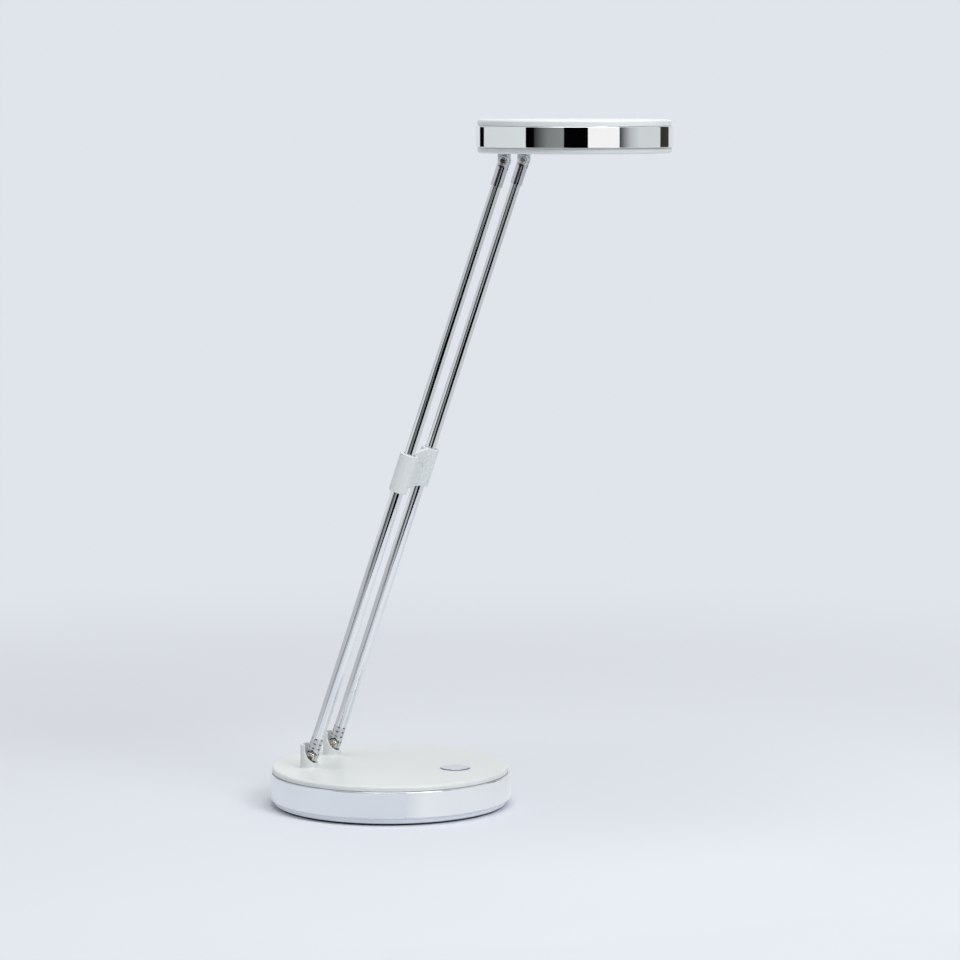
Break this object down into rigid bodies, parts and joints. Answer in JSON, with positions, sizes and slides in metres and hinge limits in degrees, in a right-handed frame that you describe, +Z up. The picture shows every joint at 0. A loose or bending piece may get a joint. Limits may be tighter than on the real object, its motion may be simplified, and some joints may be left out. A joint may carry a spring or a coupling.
{
  "type": "desk lamp",
  "caption": "Free-standing desk lamp: round weighted base with a push button, telescopic twin tube arms that tilt together, and a round flat tilting LED head.",
  "frame": {"origin": "middle of the base's underside, on the surface that the lamp stands on", "axes": "+Z up, +X towards the head, +Y along the hinge axes"},
  "size_m": [0.217, 0.129, 0.3654],
  "materials": {
    "white_plastic": "satin moulded",
    "chrome_trim": "polished",
    "fork_metal": "polished casting",
    "hinge_screw": "warm nickel",
    "steel_hardware": "zinc plated",
    "ballast_steel": "raw rolled",
    "foot_rubber": "matte",
    "board": "solder mask",
    "black_plastic": "moulded",
    "contact_brass": "turned",
    "lead_insulation": "smooth",
    "frosted_diffuser": "frosted",
    "reflector_white": "matte",
    "led_board_metal": "white solder mask",
    "led_lens": "phosphor"
  },
  "bodies": {
    "base": {"base_cover": "white_plastic", "base_trim_band": "chrome_trim", "base_tray": "white_plastic", "base_foot_ring": "foot_rubber", "ballast_plate": "ballast_steel", "base_screws": "steel_hardware", "control_board": "board", "board_screws": "steel_hardware", "push_switch": "black_plastic", "power_socket": "black_plastic", "power_pin": "contact_brass", "base_hinge_post_left": "steel_hardware", "base_hinge_post_right": "steel_hardware", "base_post_nuts": "steel_hardware", "base_leads": "lead_insulation"},
    "button": {"switch_button": "chrome_trim", "switch_plunger": "black_plastic"},
    "lower_arm": {"lower_tube_left": "chrome_trim", "lower_tube_right": "chrome_trim", "lower_fork_left": "fork_metal", "lower_fork_right": "fork_metal", "arm_bridge": "white_plastic", "tube_bush_left": "black_plastic", "tube_bush_right": "black_plastic", "base_hinge_screws": "hinge_screw", "base_hinge_washers": "black_plastic", "base_hinge_nuts": "steel_hardware"},
    "upper_arm": {"upper_tube_left": "chrome_trim", "upper_tube_right": "chrome_trim", "upper_fork_left": "fork_metal", "upper_fork_right": "fork_metal", "tube_slider_left": "contact_brass", "tube_slider_right": "contact_brass", "head_hinge_screws": "hinge_screw", "head_hinge_washers": "black_plastic", "head_hinge_nuts": "steel_hardware"},
    "head": {"head_cover": "white_plastic", "head_trim_band": "chrome_trim", "head_bottom_plate": "white_plastic", "diffuser": "frosted_diffuser", "reflector_ring": "reflector_white", "led_board": "led_board_metal", "leds": "led_lens", "head_hinge_post_left": "steel_hardware", "head_hinge_post_right": "steel_hardware", "head_post_nuts": "steel_hardware", "head_screws": "steel_hardware", "led_board_screws": "steel_hardware", "head_leads": "lead_insulation"}
  },
  "joints": [
    {"name": "arm_tilt", "type": "hinge", "parent": "base", "child": "lower_arm", "pos_m": [-0.0376, 0, 0.0273], "axis": [0, 1, 0], "range_deg": [-30, 65.5]},
    {"name": "arm_slide", "type": "slide", "parent": "lower_arm", "child": "upper_arm", "axis": [0.3173, 0, 0.9483], "range_m": [-0.14, 0]},
    {"name": "head_tilt", "type": "hinge", "parent": "upper_arm", "child": "head", "pos_m": [0.06838, 0, 0.34404], "axis": [0, 1, 0], "range_deg": [-71.5, 30]},
    {"name": "button_press", "type": "slide", "parent": "base", "child": "button", "axis": [0, 0, -1], "range_m": [0, 0.001], "stiffness_N_per_m": 800, "springref_m": -0.0005}
  ]
}
